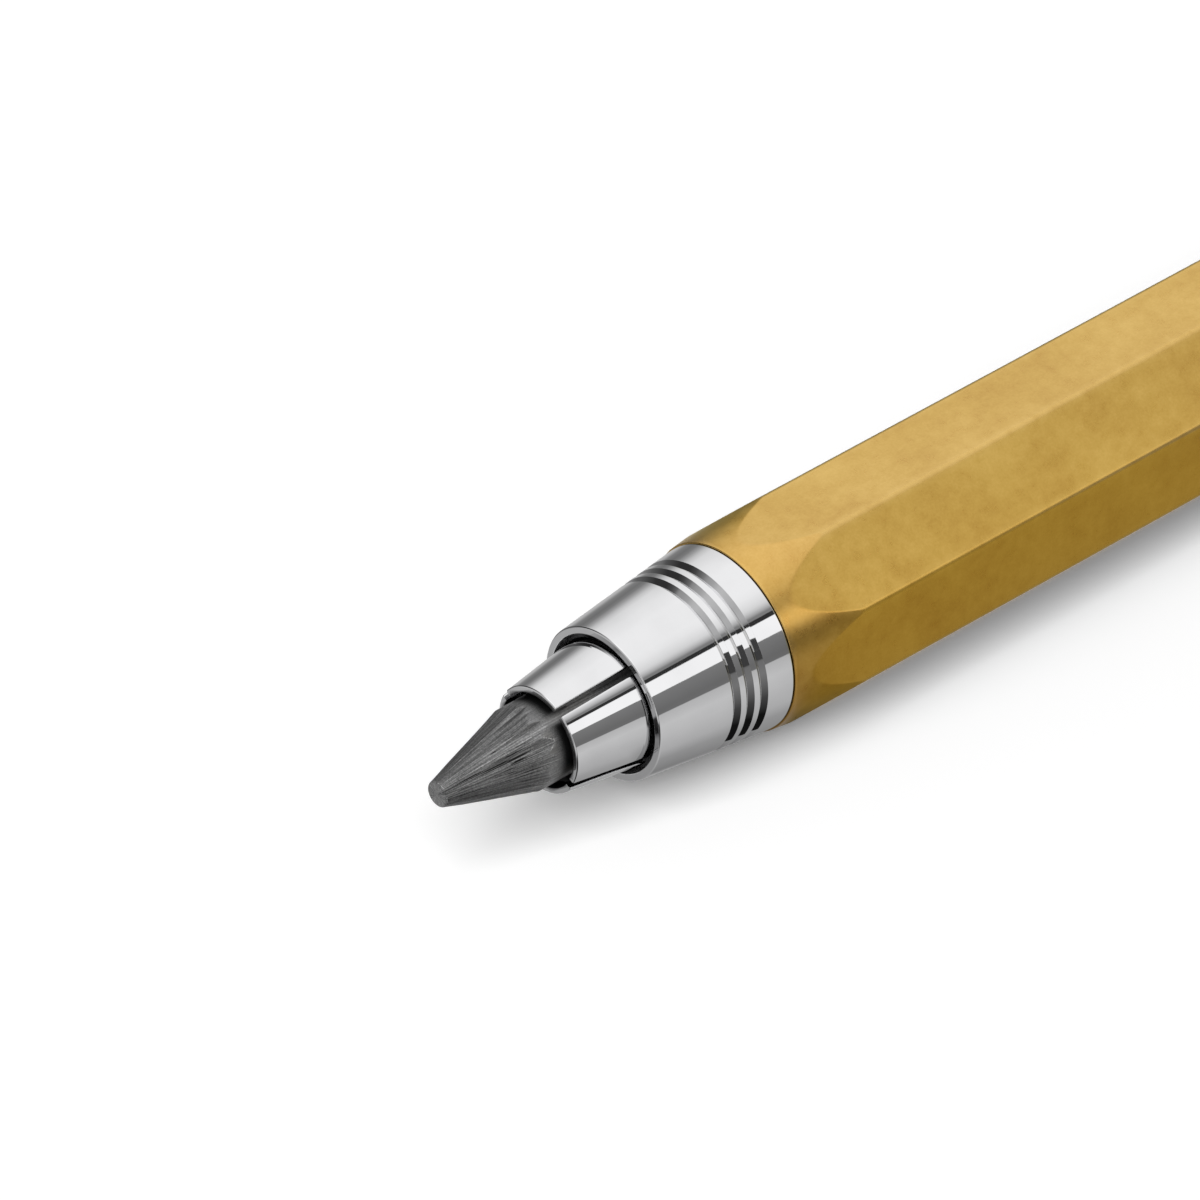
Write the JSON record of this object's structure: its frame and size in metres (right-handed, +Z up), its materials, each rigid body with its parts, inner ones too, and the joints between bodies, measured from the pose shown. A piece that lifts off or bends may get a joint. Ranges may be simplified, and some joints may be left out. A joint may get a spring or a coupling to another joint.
{
  "type": "clutch pencil",
  "caption": "Octagonal brass clutch pencil for a thick graphite lead: chromed grooved nose cone, slotted collet that opens when the push button is pressed, and a sharpener in the button.",
  "frame": {"origin": "centre of the pencil's length, on the surface that it lies on, under the barrel's axis", "axes": "+X along the pencil from the lead's point to the push button, +Z up through the barrel's top flat"},
  "size_m": [0.1054, 0.0132, 0.0132],
  "materials": {
    "raw_brass": "raw satin brass, slightly tarnished",
    "chrome_plate": "polished chrome plate",
    "turned_brass": "turned, unpolished",
    "spring_steel": "drawn wire and stamped steel",
    "blade_steel": "ground",
    "acetal": "moulded, satin",
    "rubber": "moulded, matt",
    "graphite": "knife-cut graphite and clay, satin grey"
  },
  "bodies": {
    "barrel": {"barrel": "raw_brass", "nose_cone": "chrome_plate", "spring_washer": "spring_steel", "return_spring": "spring_steel", "rear_cone": "chrome_plate", "button_bush": "acetal"},
    "plunger": {"lead_tube": "turned_brass", "collet_body": "turned_brass", "spring_collar": "turned_brass"},
    "jaw_top": {"jaw_top": "chrome_plate"},
    "jaw_near": {"jaw_near": "chrome_plate"},
    "jaw_bottom": {"jaw_bottom": "chrome_plate"},
    "jaw_far": {"jaw_far": "chrome_plate"},
    "lead": {"lead": "graphite"},
    "button": {"push_button": "chrome_plate", "grip_ring": "rubber", "button_disc": "chrome_plate", "sharpener_body": "turned_brass", "sharpener_blade": "blade_steel", "blade_screw": "spring_steel"}
  },
  "joints": [
    {"name": "plunger_press", "type": "slide", "parent": "barrel", "child": "plunger", "axis": [-1, 0, 0], "range_m": [0, 0.004], "stiffness_N_per_m": 900, "springref_m": -0.003, "deforming": ["return_spring"]},
    {"name": "jaw_top_open", "type": "hinge", "parent": "plunger", "child": "jaw_top", "pos_m": [-0.0267, 0.00073, 0.00975], "axis": [0, 0.9744, -0.225], "range_deg": [0, 2.1]},
    {"name": "jaw_near_open", "type": "hinge", "parent": "plunger", "child": "jaw_near", "pos_m": [-0.0267, -0.00317, 0.00731], "axis": [0, 0.225, 0.9744], "range_deg": [0, 2.1]},
    {"name": "jaw_bottom_open", "type": "hinge", "parent": "plunger", "child": "jaw_bottom", "pos_m": [-0.0267, -0.00073, 0.00341], "axis": [0, -0.9744, 0.225], "range_deg": [0, 2.1]},
    {"name": "jaw_far_open", "type": "hinge", "parent": "plunger", "child": "jaw_far", "pos_m": [-0.0267, 0.00317, 0.00585], "axis": [0, -0.225, -0.9744], "range_deg": [0, 2.1]},
    {"name": "lead_feed", "type": "slide", "parent": "plunger", "child": "lead", "axis": [-1, 0, 0], "range_m": [-0.008, 0.04]},
    {"name": "button_pull", "type": "slide", "parent": "plunger", "child": "button", "axis": [1, 0, 0], "range_m": [0, 0.016]}
  ],
  "couplings": [
    {"joint": "jaw_top_open", "follows": "plunger_press", "rad_per_m": 8.7266},
    {"joint": "jaw_near_open", "follows": "plunger_press", "rad_per_m": 8.7266},
    {"joint": "jaw_bottom_open", "follows": "plunger_press", "rad_per_m": 8.7266},
    {"joint": "jaw_far_open", "follows": "plunger_press", "rad_per_m": 8.7266}
  ]
}
